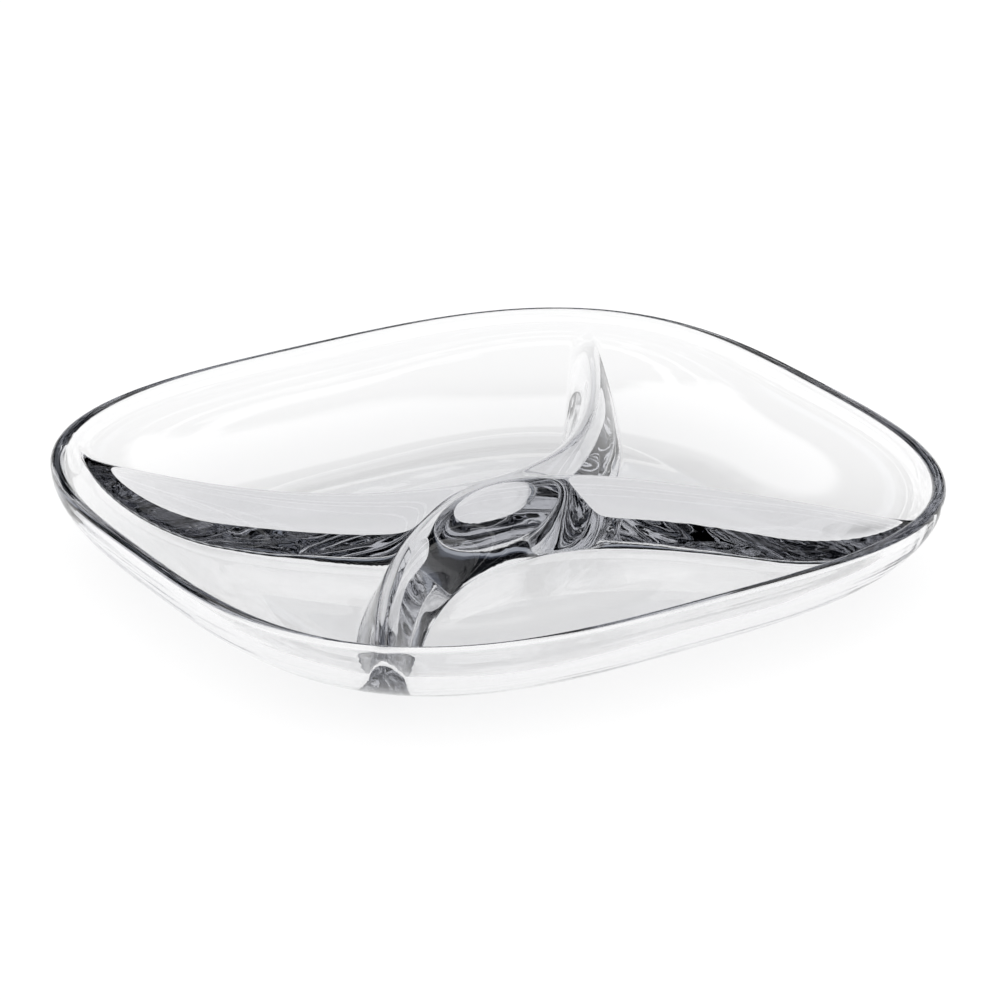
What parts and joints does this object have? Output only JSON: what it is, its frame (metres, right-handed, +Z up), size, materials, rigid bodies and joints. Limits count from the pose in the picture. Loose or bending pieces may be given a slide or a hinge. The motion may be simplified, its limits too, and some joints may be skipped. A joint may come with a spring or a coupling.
{
  "type": "relish tray",
  "caption": "Low rounded-square serving dish in clear pressed glass, shared out into compartments by solid curved ridges that meet in a bridge in the middle.",
  "frame": {"origin": "on the table, under the middle of the tray", "axes": "+Z up; +X along the longer side, the way the bridge runs; +Y along the shorter side"},
  "size_m": [0.26, 0.247, 0.033],
  "materials": {
    "clear_glass": "pressed and fire polished, smooth and clear"
  },
  "bodies": {
    "root": {"tray": "clear_glass"}
  },
  "joints": []
}
